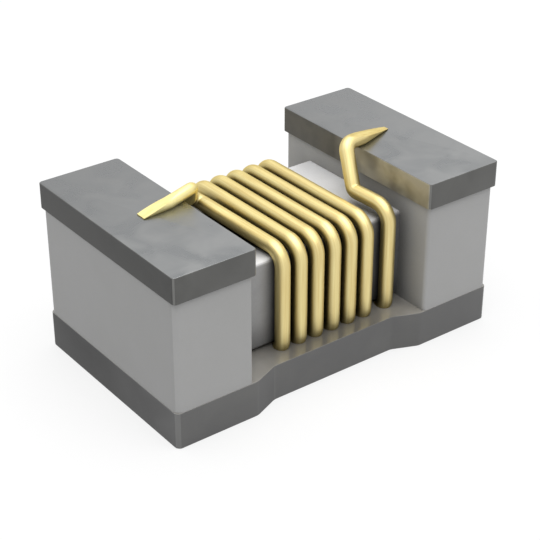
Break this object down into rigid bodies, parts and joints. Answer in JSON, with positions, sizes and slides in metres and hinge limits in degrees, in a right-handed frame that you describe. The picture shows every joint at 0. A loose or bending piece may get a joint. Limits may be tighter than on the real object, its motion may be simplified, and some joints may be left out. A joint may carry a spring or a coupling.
{
  "type": "chip rf inductor",
  "caption": "Wire-wound ceramic chip inductor for surface mounting, with metal end terminals and a flat moulded cover.",
  "frame": {"origin": "middle of the solder face, the plane of the two terminals' outer faces; the part stands on its cover plate, 0.601 mm below it", "axes": "+X along the part from the left terminal to the right one, +Y across it to the back, +Z out of the solder face, towards the board"},
  "size_m": [0.0012, 0.0008, 0.0006],
  "materials": {
    "ceramic": "matt fired alumina, mid grey",
    "terminal_metal": "fired metal film with a dull tin plating, dark grey",
    "wire": "copper magnet wire under clear enamel, pale gold",
    "cover_resin": "moulded epoxy, dark grey, smooth"
  },
  "bodies": {
    "root": {"ceramic_core": "ceramic", "terminal_left": "terminal_metal", "terminal_right": "terminal_metal", "winding": "wire", "cover_plate": "cover_resin"}
  },
  "joints": []
}
